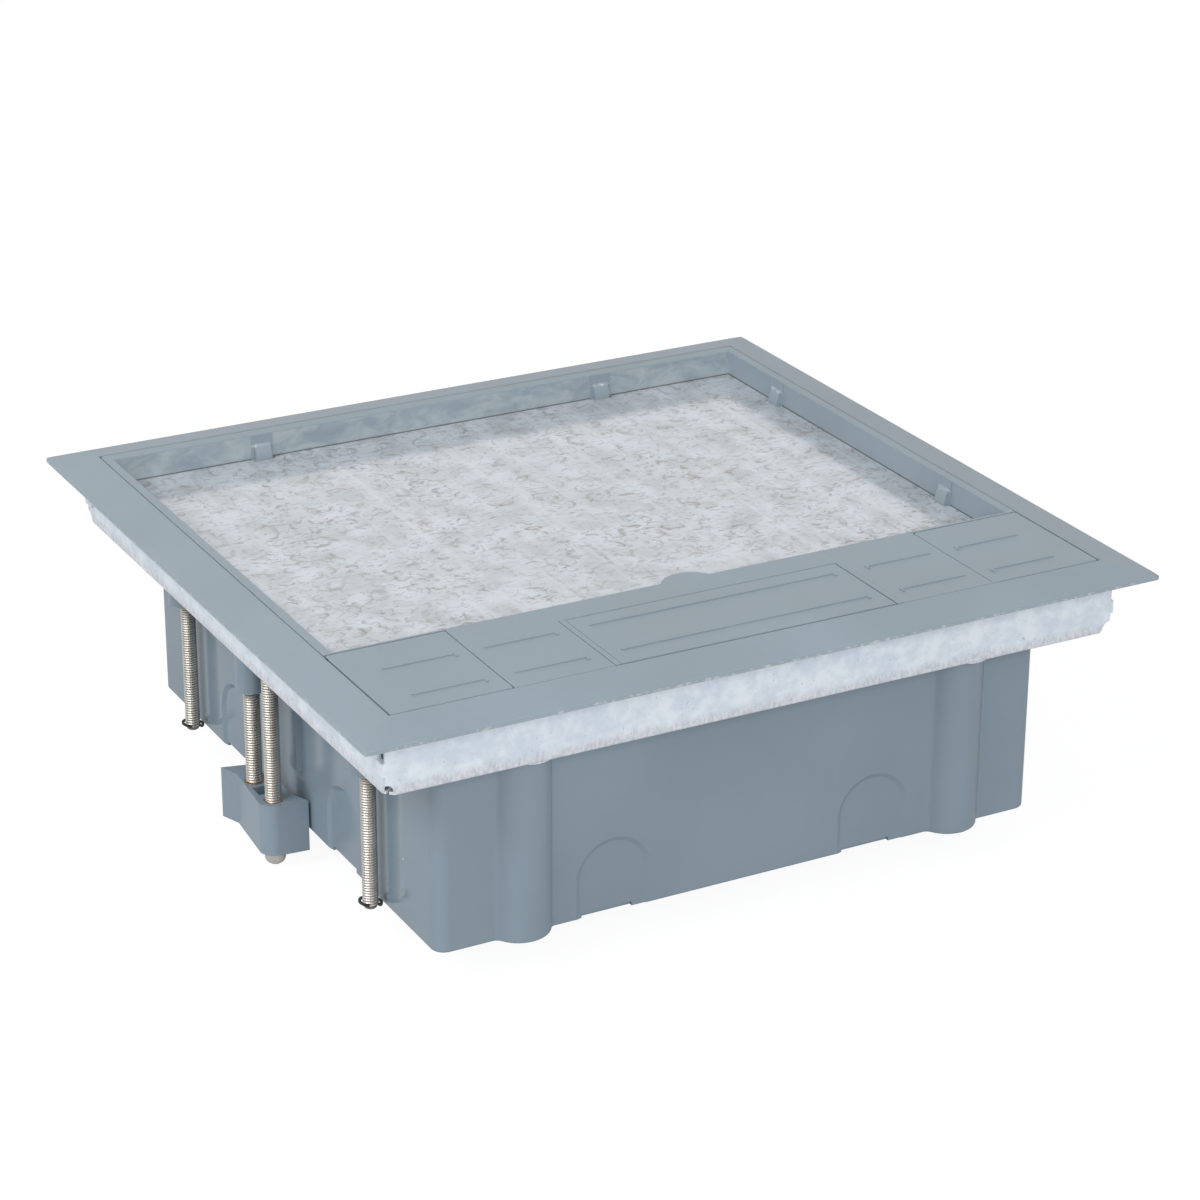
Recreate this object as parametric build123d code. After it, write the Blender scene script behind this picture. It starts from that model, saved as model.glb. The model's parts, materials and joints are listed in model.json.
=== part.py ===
"""Floor socket box: a trim frame with a hinged lid, over a housing hung on four height screws.

Millimetres. X runs along the front edge, Y towards the hinge, +Z up.
The origin is the centre of the floor cut-out, level with the floor that the flange lies on.
"""
from build123d import *
import os
from math import atan2, cos, radians, sin

# Trim frame: the plastic flange that lies on the floor
frame_width = 300.0
frame_depth = 284.2
frame_corner = 3.5
side_rim = 15.3
front_rim = 14.8
rear_rim = 16.8
flange_edge = 1.5
flange_arris = 0.6
foot_recess = 0.6
foot_gap = 0.6
crown = 3.4
crown_land = 0.8
pocket_wall = 1.7
pocket_depth = 13.2
ledge_width = 6.9
ledge_thickness = 2.3
ledge_clearance = 2.0
seam = 0.5

# Lid: the frame that holds the carpet plate, hinged at the rear
lid_height = 13.8
lid_wall = 3.4
lid_rear_wall = 5.1
lid_corner = 1.5
lid_end_gap = 0.3
cover_edge = 0.4
hinge_setback = 10.0
hinge_drop = 2.9
hinge_pin_r = 1.25
hinge_pin_grip = 2.6
hinge_pin_reach = 3.0
pin_end_gap = 0.1
running_gap = 0.05

# Carpet well and its galvanised plate
well_depth = 9.8
plate_thickness = 1.0
plate_fit = 0.1
plate_rebate = 1.4
plate_step = 0.3
seat_gap = 0.2
clip_width = 8.6
clip_pad = 0.35
clip_pad_drop = 0.6
nose_width = 6.3
nose_height = 6.2
nose_swell = 0.8
clip_reach = 2.3
rear_clip_x = 72.3
side_clip_ys = (-37.0, 82.0)

# Front strip of the lid: bridge, handle and two cable flaps
strip_depth = 51.8
strip_lip = 1.3
deck_front_wall = 2.4
cover_thickness = 2.4
deck_gap = 0.1
flap_seam_x = 91.0
tray_half = 54.7
tray_wall = 2.0
tray_floor = 1.6
tray_gap = 0.1
finger_well = 9.0
handle_back_seam = 40.0
handle_front_gap = 0.6
flap_corner = 0.8
tab_half = 9.5
tab_reach = 5.4
trunnion_r = 0.6
trunnion_reach = 1.3
trunnion_end_gap = 0.2
pivot_setback = 2.2
pivot_drop = 1.25
pivot_post_r = 0.9
pivot_post_inset = 0.8
pivot_post_length = 2.0
cover_gap = 0.35
outlet_margin = 3.3
ridge_height = 0.35
ridge_root = 0.2
ridge_width = 0.9
ridge_hook = 2.2
ridge_ys = (10.0, 32.0)
ridge_end_gap = 5.0
flap_ridge_inset = 12.0
handle_grip = 1.6
grip_width = 1.8
grip_inset = 1.5
rail_drop = 2.6

# Galvanised skirt that fills the cut-out
skirt_height = 21.7
steel = 1.0
bend_r = 1.0
skirt_gap = 0.45
side_lip = 20.2
front_lip = 2.95
lip_swell_width = 9.0
lip_swell_drop = 0.8
corner_gap = 0.3
corner_relief = 3.2
corner_chamfer = 4.2
corner_tab_height = 4.7
corner_tab_length = 6.1
corner_tab_drop = 9.9
corner_tab_r = 1.2
corner_slot_height = 3.3
corner_slot_length = 5.0
fixing_screw_r = 1.7
fixing_head_r = 2.9
fixing_inset = 3.5
fixing_front_inset = 22.8
fixing_rear_inset = 35.8
fixing_post = 6.4

# Housing: the moulded tub
lip_gap = 1.0
housing_bottom = -89.4
housing_top = -13.6
housing_wall = 2.4
housing_floor = 2.4
housing_corner = 5.0
bottom_radius = 1.0
pilaster_x = 84.0
pilaster_r = 11.0
pilaster_bulge = 6.5
flow_r = 2.5
arch_width = 28.0
arch_recess = 1.0
arch_bevel = 1.7
front_arch_x = 50.8
front_arch_height = 27.8
side_arch_y = 47.0
side_arch_height = 28.8
notch_width = 19.0
notch_height = 1.5
notch_offset = -2.0
rear_rib_y = 33.6
front_rib_y = -10.0
rib_width = 6.0
rib_reach = 2.3
rear_rib_bottom = -74.7
front_rib_bottom = -68.3
rib_top = -22.5

# Height screws at the four lugs
screw_r = 2.5
thread_gap = 0.05
lip_hole_r = 2.75
screw_head_r = 4.25
screw_head_height = 2.8
screw_head_edge = 0.8
screw_point = 0.6
slot_width = 1.2
slot_depth = 1.4
screw_stand_off = 4.8
height_screw_y = 78.5
height_screw_end = -89.5
lug_r = 7.0
lug_top = -22.2
lug_bottom = -38.0
lug_hole_gap = 0.15
insert_r = 3.7
insert_height = 10.0
lug_web = 8.0
clip_r = 4.6
clip_ring = 1.2
clip_thickness = 1.0
clip_z = -87.5
clip_mouth = 3.6
clip_bite = 0.4
clip_land = 2.0

# Clamps: a claw on a turning screw and a fixed guide rod, one each side
clamp_stand_off = 11.3
guide_y = 4.0
clamp_screw_y = -12.7
boss_r = 5.4
boss_bottom = -41.3
boss_web = 7.0
boss_bore_r = 2.65
claw_top = -77.0
claw_height = 19.3
nose_r = 5.7
claw_waist = (3.6, 15.7)
claw_outer_tip = (6.5, 23.5)
claw_tip_corner = (2.5, 21.3)
claw_back = (8.1, 5.4)
claw_hollow = (6.6, 6.2)
claw_inner_tip = (10.3, 14.9)
claw_insert_r = 3.6
claw_window = 6.2
guide_end = -96.5
tail_r = 3.7
tail_gap = 0.3
tail_height = 5.2
tail_dome = 2.2

# Module supports inside the housing
support_count = 3
support_end_gap = 12.1
support_space = 6.0
support_gap = 1.5
support_thickness = 2.0
support_z = -62.0
window_width = 180.2
window_depth = 45.2
support_edge = 5.0
post_r = 4.2
post_stand_off = 7.8
post_web = 2.4
post_inset = 6.0
support_screw_r = 1.5
support_hole_gap = 0.2
support_head_r = 2.9
support_head_height = 2.0
support_slot = 0.8
support_screw_grip = 8.0
pilot_depth = 12.0

# Derived places
frame_top = flange_edge + crown
lid_front = front_rim - frame_depth / 2
lid_rear = frame_depth / 2 - rear_rim
lid_centre_y = (lid_front + lid_rear) / 2
lid_x = frame_width / 2 - side_rim
lid_bottom = frame_top - lid_height
hinge_y = lid_rear - hinge_setback
hinge_z = frame_top - hinge_drop
pocket_x = lid_x + seam
pocket_front = lid_front - seam
pocket_rear = lid_rear + seam
well_x = lid_x - lid_wall
well_rear = lid_rear - lid_rear_wall
well_front = lid_front + strip_depth
well_floor = frame_top - well_depth
cover_bottom = frame_top - cover_thickness
deck_top = cover_bottom - deck_gap
handle_seam_y = lid_front + handle_back_seam
strip_seam_y = well_front - strip_lip
pivot_z = frame_top - pivot_drop
skirt_x = pocket_x + pocket_wall + skirt_gap + steel
skirt_y = pocket_wall + skirt_gap + steel - pocket_front
lip_top = steel - skirt_height
wall_x = skirt_x - steel - side_lip - lip_gap
wall_y = skirt_y - steel - front_lip - lip_gap - pilaster_bulge
fixing_x = pocket_x + pocket_wall - fixing_inset
fixing_ys = (pocket_front + fixing_front_inset, pocket_rear - fixing_rear_inset)
height_screw_x = wall_x + screw_stand_off
clamp_x = wall_x + clamp_stand_off
claw_bottom = claw_top - claw_height
post_x = wall_x - housing_wall - post_stand_off
support_pitch = (2 * (wall_y - housing_wall - support_end_gap) + support_space) / support_count
support_depth = support_pitch - support_space
flap_pivot_y = strip_seam_y - cover_gap - pivot_setback
handle_pivot_y = handle_seam_y - seam - pivot_setback
rim_top = well_floor - plate_step


def block(x0, x1, y0, y1, z0, z1):
    """A box between two corners."""
    middle = Pos((x0 + x1) / 2, (y0 + y1) / 2, (z0 + z1) / 2)
    return middle * Box(abs(x1 - x0), abs(y1 - y0), abs(z1 - z0))


def upright(x, y, z0, z1, r):
    """A vertical cylinder."""
    return Pos(x, y, (z0 + z1) / 2) * Cylinder(r, abs(z1 - z0))


def lengthwise(x0, x1, y, z, r):
    """A cylinder along X."""
    return Pos((x0 + x1) / 2, y, z) * Rot(0, 90, 0) * Cylinder(r, abs(x1 - x0))


def rounded(x0, x1, y0, y1, z0, z1, corner):
    """A box with rounded upright edges."""
    outline = Pos((x0 + x1) / 2, (y0 + y1) / 2, z0) * RectangleRounded(x1 - x0, y1 - y0, corner)
    return extrude(outline, z1 - z0)


def both_sides(solid):
    """A solid on the left and its mirror image on the right."""
    return solid + mirror(solid, Plane.YZ)


def half_turned(solid):
    """The same solid turned half round the box's upright axis."""
    return Rot(0, 0, 180) * solid


def top_edges(solid):
    """The edges that lie in a solid's top plane."""
    return solid.edges().group_by(Axis.Z)[-1]


def save(node, *solids):
    """Writes one node as a STEP file."""
    pieces = [s for shape in solids for s in shape.solids()]
    shape = pieces[0] if len(pieces) == 1 else Compound(children=pieces)
    export_step(shape, f"parts/{node}.step")


def trim_frame():
    """Crowned flange, pocket walls, lid ledge and fixing posts in one moulding."""
    base = RectangleRounded(frame_width, frame_depth, frame_corner)
    edge = Pos(0, 0, flange_edge) * RectangleRounded(frame_width, frame_depth, frame_corner)
    land_x, land_y = 2 * (pocket_x + crown_land), pocket_rear - pocket_front + 2 * crown_land
    land = Pos(0, lid_centre_y, frame_top) * RectangleRounded(land_x, land_y, frame_corner)
    body = extrude(base, flange_edge) + loft([edge, land])
    body = fillet(body.edges().filter_by_position(Axis.Z, flange_edge, flange_edge), flange_arris)
    recess_x, recess_y = skirt_x + foot_gap, skirt_y + foot_gap
    body -= block(-recess_x, recess_x, -recess_y, recess_y, 0, foot_recess)
    outer_x = pocket_x + pocket_wall
    front, rear = pocket_front - pocket_wall, pocket_rear + pocket_wall
    body += block(-outer_x, outer_x, front, rear, -pocket_depth, foot_recess)
    body -= block(-pocket_x, pocket_x, pocket_front, pocket_rear, -pocket_depth, frame_top)
    ledge_bottom = lid_bottom - ledge_thickness
    ledge_rear = hinge_y - lid_height - ledge_clearance
    inner_x = outer_x - ledge_width
    side = block(-outer_x, -inner_x, front, ledge_rear, ledge_bottom, lid_bottom)
    body += both_sides(side)
    body += block(-outer_x, outer_x, front, front + ledge_width, ledge_bottom, lid_bottom)
    half = fixing_post / 2
    for y in fixing_ys:
        post = block(-outer_x, -fixing_x + half, y - half, y + half, lip_top, ledge_bottom)
        body += both_sides(post)
        hole = upright(-fixing_x, y, lip_top, lid_bottom, fixing_screw_r)
        sink = Pos(-fixing_x, y, lid_bottom - (fixing_head_r - fixing_screw_r) / 2)
        cone = Cone(fixing_screw_r, fixing_head_r, fixing_head_r - fixing_screw_r)
        body -= both_sides(hole + sink * cone)
    end = pocket_x + hinge_pin_reach
    bore = lengthwise(-end, -lid_x, hinge_y, hinge_z, hinge_pin_r + running_gap)
    return body - both_sides(bore)


def skirt_fold(length, wall_y_out, lip_width):
    """One folded side lying along X: an upright wall and a lip turned inward at its foot."""
    wall = block(-length / 2, length / 2, -wall_y_out, -wall_y_out + steel,
                 -skirt_height, foot_recess)
    lip_length = length / 2 - steel
    lip = Polygon(
        (-lip_length, -wall_y_out + steel),
        (lip_length, -wall_y_out + steel),
        (lip_length - lip_width, -wall_y_out + steel + lip_width),
        (-lip_length + lip_width, -wall_y_out + steel + lip_width),
        align=None,
    )
    side = wall + extrude(Pos(0, 0, -skirt_height) * lip, steel)
    foot = side.edges().filter_by(Axis.X).group_by(Axis.Z)[0].sort_by(Axis.Y)[0]
    return fillet(foot, bend_r)


def corner_reliefs():
    """Cuts at the foot of both front corners: a half-moon over the lips and a chamfer across them."""
    moon = Pos(-skirt_x, -skirt_y, lip_top) * Sphere(corner_relief)
    moon -= block(-skirt_x - steel - corner_relief, -skirt_x + corner_relief, -skirt_y - corner_relief,
                  -skirt_y + corner_relief, lip_top - corner_relief, lip_top)
    corner = Polygon((-skirt_x - steel, -skirt_y), (-skirt_x, -skirt_y),
                     (-skirt_x + corner_chamfer, -skirt_y), (-skirt_x, -skirt_y + corner_chamfer),
                     (-skirt_x - steel, -skirt_y + corner_chamfer), align=None)
    chamfered = extrude(Pos(0, 0, -skirt_height) * corner, steel)
    return both_sides(moon + chamfered)


def skirt_front():
    """Front side, with tabs wrapped round both corners and swells where the pilasters press."""
    side = skirt_fold(2 * skirt_x, skirt_y, front_lip)
    tab_top = -corner_tab_drop
    tab = block(-skirt_x - steel, -skirt_x, -skirt_y, -skirt_y + corner_tab_length,
                tab_top - corner_tab_height, tab_top)
    tab = fillet(tab.edges().filter_by(Axis.X).group_by(Axis.Y)[-1], corner_tab_r)
    swell_r = (lip_swell_width**2 / 4 + lip_swell_drop**2) / (2 * lip_swell_drop)
    swell_z = -skirt_height - lip_swell_drop + swell_r
    lens = Pos(-pilaster_x, -skirt_y + bend_r, swell_z) * Rot(90, 0, 0) * Cylinder(
        swell_r, 2 * steel, align=(Align.CENTER, Align.CENTER, Align.MAX))
    lens &= block(-pilaster_x - lip_swell_width, -pilaster_x + lip_swell_width,
                  -skirt_y, -skirt_y + 3 * steel, -skirt_height - lip_swell_drop, lip_top)
    side += both_sides(tab + lens)
    return side - corner_reliefs()


def side_skirt(clamp_ys):
    """Left side between front and rear, with the holes for height screws, clamp and fixings."""
    length = 2 * (skirt_y - steel - corner_gap)
    side = Rot(0, 0, -90) * skirt_fold(length, skirt_x, side_lip)
    holes = [(-height_screw_x, y, lip_hole_r) for y in (-height_screw_y, height_screw_y)]
    holes += [(-clamp_x, y, lip_hole_r) for y in clamp_ys]
    holes += [(-fixing_x, y, fixing_screw_r) for y in fixing_ys]
    for x, y, r in holes:
        side -= upright(x, y, -skirt_height, lip_top, r)
    slot = block(-skirt_x, -skirt_x + steel, -skirt_y, -skirt_y + corner_slot_length,
                 -corner_tab_drop, -corner_tab_drop + corner_slot_height)
    cuts = corner_reliefs() + slot
    return side - cuts - mirror(cuts, Plane.XZ)


def skirt_left():
    """Left side."""
    return side_skirt((guide_y, clamp_screw_y))


def skirt_right():
    """Right side, whose clamp stands half turned."""
    return mirror(side_skirt((-guide_y, -clamp_screw_y)), Plane.YZ)


def fixing_screws():
    """Countersunk screws from the ledge through the posts into the skirt's lips."""
    sink = fixing_head_r - fixing_screw_r
    screws = []
    for x in (-fixing_x, fixing_x):
        for y in fixing_ys:
            shank = upright(x, y, -skirt_height - sink, lid_bottom - sink, fixing_screw_r)
            head = Pos(x, y, lid_bottom - sink / 2) * Cone(fixing_screw_r, fixing_head_r, sink)
            screws.append(shank + head)
    return screws


def lid_frame():
    """Side and rear walls round the carpet well, and the deck under the front strip."""
    body = rounded(-lid_x, lid_x, lid_front, lid_rear, lid_bottom, frame_top, lid_corner)
    body -= block(-well_x, well_x, well_front, well_rear, lid_bottom, frame_top)
    body = fillet(top_edges(body), cover_edge)
    rebate_x, rebate_rear = well_x + plate_rebate, well_rear + plate_rebate
    rebate_front = well_front - plate_rebate
    body -= block(-rebate_x, rebate_x, rebate_front, rebate_rear, lid_bottom, rim_top)
    body -= block(-lid_x, lid_x, lid_front, strip_seam_y, deck_top, frame_top)
    seat_x = flap_seam_x + running_gap
    body -= block(-seat_x, seat_x, lid_front, well_front, cover_bottom, frame_top)
    under_front = lid_front + deck_front_wall
    under_rear = rebate_front - lid_wall / 2
    body -= block(-well_x, well_x, under_front, under_rear, lid_bottom, deck_top - cover_thickness)
    body -= block(-tray_half, tray_half, lid_front, handle_seam_y, lid_bottom, frame_top)
    left, right = -well_x, -flap_seam_x - outlet_margin
    outlet = block(left, right, under_front, strip_seam_y, lid_bottom, frame_top)
    sweep = lengthwise(-lid_x, -seat_x, flap_pivot_y, pivot_z, pivot_setback + cover_gap)
    pin = lengthwise(-lid_x, -lid_x + hinge_pin_grip, hinge_y, hinge_z, hinge_pin_r)
    body -= both_sides(outlet + sweep + pin)
    return body + both_sides(pivot_post())


def pivot_post():
    """Left post at the end of the deck, which carries the outer pivot of the flap."""
    x0 = -lid_x + pivot_post_inset
    x1 = x0 + pivot_post_length
    foot = pivot_z - pivot_setback - cover_gap - pivot_post_r
    post = block(x0, x1, flap_pivot_y - pivot_post_r, flap_pivot_y + pivot_post_r, foot, pivot_z)
    post += lengthwise(x0, x1, flap_pivot_y, pivot_z, pivot_post_r)
    return post - lengthwise(x0, x1, flap_pivot_y, pivot_z, trunnion_r + running_gap)


def carpet_plate():
    """Galvanised plate under the well: a pressed seat with a lower rim, notched at the clips."""
    rim_x, rim_front = well_x + plate_rebate - plate_fit, well_front - plate_rebate + plate_fit
    rim_rear = well_rear + plate_rebate - plate_fit
    plate = block(-rim_x, rim_x, rim_front, rim_rear, rim_top - plate_thickness, rim_top)
    seat_x, seat_front, seat_rear = well_x - seat_gap, well_front + seat_gap, well_rear - seat_gap
    step = seat_gap + plate_thickness
    plate -= block(-seat_x + step, seat_x - step, seat_front + step, seat_rear - step,
                   rim_top - plate_thickness, well_floor - plate_thickness)
    seat = block(-seat_x, seat_x, seat_front, seat_rear, well_floor - plate_thickness, well_floor)
    half, reach = clip_width / 2 + seat_gap, clip_reach + seat_gap
    for y in side_clip_ys:
        notch = block(-well_x, -well_x + reach, y - half, y + half, rim_top, well_floor)
        seat -= both_sides(notch)
    notch = block(-rear_clip_x - half, -rear_clip_x + half, well_rear - reach, well_rear,
                  rim_top, well_floor)
    return plate + seat - both_sides(notch)


def carpet_clips():
    """Clips that stand on the plate's rim against the walls: a flat pad with a swelling nose."""
    pad = block(0, clip_pad, -clip_width / 2, clip_width / 2, 0, frame_top - clip_pad_drop - rim_top)
    foot, top = (clip_reach, 0), (clip_pad, nose_height + plate_step)
    swell = (clip_reach * nose_swell, top[1] / 2)
    outline = Polyline(top, (0, top[1]), (0, 0), foot) + ThreePointArc(foot, swell, top)
    clip = pad + extrude(Plane.XZ * make_face(outline), nose_width / 2, both=True)
    clips = []
    for y in side_clip_ys:
        clips.append(Pos(-well_x, y, rim_top) * clip)
        clips.append(Pos(well_x, y, rim_top) * Rot(0, 0, 180) * clip)
    for x in (-rear_clip_x, rear_clip_x):
        clips.append(Pos(x, well_rear, rim_top) * Rot(0, 0, -90) * clip)
    return clips


def hinge_pins():
    """Steel pins pressed into the lid, which turn in bores in the frame."""
    start, end = lid_x - hinge_pin_grip, pocket_x + hinge_pin_reach - pin_end_gap
    left = lengthwise(-end, -start, hinge_y, hinge_z, hinge_pin_r)
    return [left, mirror(left, Plane.YZ)]


def ridge(length):
    """A raised line along X with a short hooked end, as on every cover of the strip."""
    low, high = frame_top - ridge_root, frame_top + ridge_height
    line = block(0, length, -ridge_width / 2, ridge_width / 2, low, high)
    return line + block(length - ridge_width, length, -ridge_hook, 0, low, high)


def ridges(x0, x1):
    """The pair of ridges on one cover between two ends."""
    first, second = [Pos(x0, lid_front + y, 0) * ridge(x1 - x0) for y in ridge_ys]
    return first + second


def lid_bridge():
    """Fixed cover plate of the strip, with the finger tab over the well and room for the tray."""
    plate = block(-flap_seam_x, flap_seam_x, lid_front, well_front, cover_bottom, frame_top)
    tab_r = (tab_half**2 + tab_reach**2) / (2 * tab_reach)
    disc = upright(0, well_front + tab_reach - tab_r, cover_bottom, frame_top, tab_r)
    plate += disc & block(-tab_half, tab_half, well_front, well_front + tab_reach,
                          cover_bottom, frame_top)
    plate -= block(-tray_half, tray_half, lid_front, handle_seam_y, cover_bottom, frame_top)
    plate = fillet(top_edges(plate), cover_edge)
    marks = ridges(-flap_seam_x + ridge_end_gap, -tray_half - ridge_end_gap)
    bore = lengthwise(-flap_seam_x, -flap_seam_x + trunnion_reach + trunnion_end_gap, flap_pivot_y,
                      pivot_z, trunnion_r + running_gap)
    return plate + both_sides(marks) - both_sides(bore)


def handle_tray():
    """Finger well under the handle, whose end walls rise to the surface and carry its pivots."""
    x = tray_half - tray_gap
    inner = x - tray_wall
    floor = max(cover_bottom - finger_well, lid_bottom)
    rear = handle_seam_y - tray_gap
    tray = block(-x, x, lid_front, rear, floor, frame_top)
    tray -= block(-inner, inner, lid_front, rear - tray_wall, floor + tray_floor, frame_top)
    tray -= block(-inner, inner, lid_front, rear, cover_bottom - rail_drop, frame_top)
    bore = lengthwise(-x, -inner, handle_pivot_y, pivot_z, trunnion_r + running_gap)
    return tray - both_sides(bore)


def handle_panel():
    """Lifting handle: a plate with a grip edge in front and two moulded pivots at the rear."""
    x = tray_half - tray_gap - tray_wall - cover_gap
    front, rear = lid_front + handle_front_gap, handle_seam_y - seam
    panel = block(-x, x, front, rear, cover_bottom, frame_top)
    panel = fillet(top_edges(panel), cover_edge)
    grip_x, grip_y = x - ridge_end_gap, front + grip_inset
    panel += block(-grip_x, grip_x, grip_y, grip_y + grip_width,
                   cover_bottom - handle_grip, cover_bottom)
    panel += ridges(-grip_x, grip_x)
    pivot = lengthwise(-x - trunnion_reach, -x, handle_pivot_y, pivot_z, trunnion_r)
    return panel + both_sides(pivot)


def cable_flap():
    """Left cable flap: a cover plate that tips up on pivots at its rear edge."""
    x0, x1 = -lid_x + lid_end_gap, -flap_seam_x - cover_gap
    front, rear = lid_front + lid_end_gap, strip_seam_y - cover_gap
    flap = rounded(x0, x1, front, rear, cover_bottom, frame_top, flap_corner)
    flap = fillet(top_edges(flap), cover_edge)
    post_end = -lid_x + pivot_post_inset + pivot_post_length
    pocket_x1 = post_end + running_gap
    reach = pivot_post_r + running_gap
    flap -= block(x0, pocket_x1, flap_pivot_y - reach, rear, cover_bottom, pivot_z)
    flap -= lengthwise(x0, pocket_x1, flap_pivot_y, pivot_z, reach)
    flap -= block(x0, pocket_x1, flap_pivot_y, rear, cover_bottom, pivot_z + reach)
    flap += ridges(x0 + flap_ridge_inset, x1 - ridge_end_gap)
    flap += lengthwise(x1, x1 + trunnion_reach, flap_pivot_y, pivot_z, trunnion_r)
    return flap + lengthwise(post_end - trunnion_reach, pocket_x1, flap_pivot_y, pivot_z, trunnion_r)


def pilaster_outline():
    """Plan of the left front pilaster: a round bulge that flows into the wall on both sides."""
    sunk = pilaster_r - pilaster_bulge
    reach = pilaster_r + flow_r
    run = (reach**2 - (flow_r + sunk) ** 2) ** 0.5
    share = pilaster_r / reach
    touch = (run * share, sunk - (flow_r + sunk) * share)
    foot = (run, 0)
    angle = atan2(touch[1] + flow_r, touch[0] - run) / 2 + radians(45)
    middle = (run + flow_r * cos(angle), -flow_r + flow_r * sin(angle))
    flow = ThreePointArc(touch, middle, foot)
    bulge = ThreePointArc((-touch[0], touch[1]), (0, -pilaster_bulge), touch)
    back = Polyline(foot, (run, housing_wall), (-run, housing_wall), (-run, 0))
    return Pos(-pilaster_x, -wall_y) * make_face(mirror(flow, Plane.YZ) + bulge + flow + back)


def arch_outline(half, top, depth):
    """A round-topped outline in an upright plane at a depth behind the wall's face."""
    spring = top - half
    feet = Polyline((half, spring), (half, -half), (-half, -half), (-half, spring))
    crown_arc = ThreePointArc((-half, spring), (0, top), (half, spring))
    return Pos(0, depth, 0) * (Plane.XZ * make_face(feet + crown_arc))


def arch_cutter(height):
    """A knock-out recess with bevelled edges and a notch at its foot, cut towards +Y."""
    half = arch_width / 2
    recess = loft([arch_outline(half, height, 0),
                   arch_outline(half - arch_bevel, height - arch_bevel, arch_recess)])
    notch = block(notch_offset - notch_width / 2, notch_offset + notch_width / 2,
                  0, housing_wall, 0, notch_height)
    return recess + notch


def side_features():
    """On the left wall: lugs, guide boss and guide ribs for the claw."""
    half = lug_web / 2
    added = block(-height_screw_x, -wall_x, -height_screw_y - half, -height_screw_y + half,
                  lug_bottom, lug_top)
    added += upright(-height_screw_x, -height_screw_y, lug_bottom, lug_top, lug_r)
    added += mirror(added, Plane.XZ)
    added += upright(-clamp_x, guide_y, boss_bottom, lug_top, boss_r)
    added += block(-clamp_x, -wall_x, guide_y - boss_web / 2, guide_y + boss_web / 2,
                   boss_bottom, lug_top)
    for y, low in ((rear_rib_y, rear_rib_bottom), (front_rib_y, front_rib_bottom)):
        half = rib_width / 2
        added += block(-wall_x - rib_reach, -wall_x, y - half, y + half, low, rib_top)
    return added


def housing():
    """Moulded tub with pilasters, knock-outs, lugs, bosses, ribs and support posts."""
    outline = RectangleRounded(2 * wall_x, 2 * wall_y, housing_corner)
    tub = extrude(Pos(0, 0, housing_bottom) * outline, housing_top - housing_bottom)
    swell = extrude(Pos(0, 0, housing_bottom) * pilaster_outline(), housing_top - housing_bottom)
    swells = both_sides(swell)
    tub += swells + mirror(swells, Plane.XZ)
    tub = fillet(tub.faces().sort_by(Axis.Z)[0].edges(), bottom_radius)
    side = side_features()
    tub += side + half_turned(side)
    inner_x, inner_y = wall_x - housing_wall, wall_y - housing_wall
    floor = housing_bottom + housing_floor
    tub -= rounded(-inner_x, inner_x, -inner_y, inner_y, floor, housing_top,
                   housing_corner - housing_wall)
    front_arch, side_arch = arch_cutter(front_arch_height), arch_cutter(side_arch_height)
    for turn, reach, offset, arch in (
        (0, wall_y, front_arch_x, front_arch),
        (180, wall_y, front_arch_x, front_arch),
        (90, wall_x, side_arch_y, side_arch),
        (-90, wall_x, side_arch_y, side_arch),
    ):
        for place in (-offset, offset):
            tub -= Rot(0, 0, turn) * Pos(place, -reach, housing_bottom) * arch
    for x, y in support_post_places():
        wall = inner_x if x > 0 else -inner_x
        tub += upright(x, y, floor, support_z, post_r)
        tub += block(x, wall, y - post_web / 2, y + post_web / 2, floor, support_z)
        tub -= upright(x, y, support_z - pilot_depth, support_z, support_screw_r)
    for x in (-height_screw_x, height_screw_x):
        for y in (-height_screw_y, height_screw_y):
            tub -= upright(x, y, lug_bottom, lug_top, screw_r + lug_hole_gap)
            tub -= upright(x, y, lug_bottom, lug_bottom + insert_height, insert_r)
    for turn in (0, 180):
        hole = upright(-clamp_x, guide_y, boss_bottom, lug_top, boss_bore_r)
        tub -= Rot(0, 0, turn) * hole
    return tub


def support_rows():
    """The Y of each module support's middle."""
    return [(i - (support_count - 1) / 2) * support_pitch for i in range(support_count)]


def support_post_places():
    """Where the posts stand: at the four corners of every module support."""
    reach = support_depth / 2 - post_inset
    return [(x, row + y) for row in support_rows() for x in (-post_x, post_x) for y in (-reach, reach)]


def module_support(row):
    """A frame for wiring modules, with one long window and a turned-down edge each side."""
    half_x, half_y = wall_x - housing_wall - support_gap, support_depth / 2
    window_x, window_y = window_width / 2, window_depth / 2
    top = support_z + support_thickness
    plate = rounded(-half_x, half_x, row - half_y, row + half_y, support_z, top, support_gap)
    plate -= block(-window_x, window_x, row - window_y, row + window_y, support_z, top)
    edge = block(-window_x, window_x, window_y, window_y + support_thickness / 2,
                 support_z - support_edge, support_z)
    plate += Pos(0, row, 0) * (edge + mirror(edge, Plane.XZ))
    for x, y in support_post_places():
        plate -= upright(x, y, support_z, top, support_screw_r + support_hole_gap)
    return plate


def support_screws():
    """Pan-head screws that hold the supports on their posts."""
    top = support_z + support_thickness
    head_top = top + support_head_height
    half = support_slot / 2
    screws = []
    for x, y in support_post_places():
        shank = upright(x, y, support_z - support_screw_grip, top, support_screw_r)
        head = upright(x, y, top, head_top, support_head_r)
        slot = block(x - support_head_r, x + support_head_r, y - half, y + half,
                     head_top - support_head_height / 2, head_top)
        screws.append(shank + head - slot)
    return screws


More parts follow.
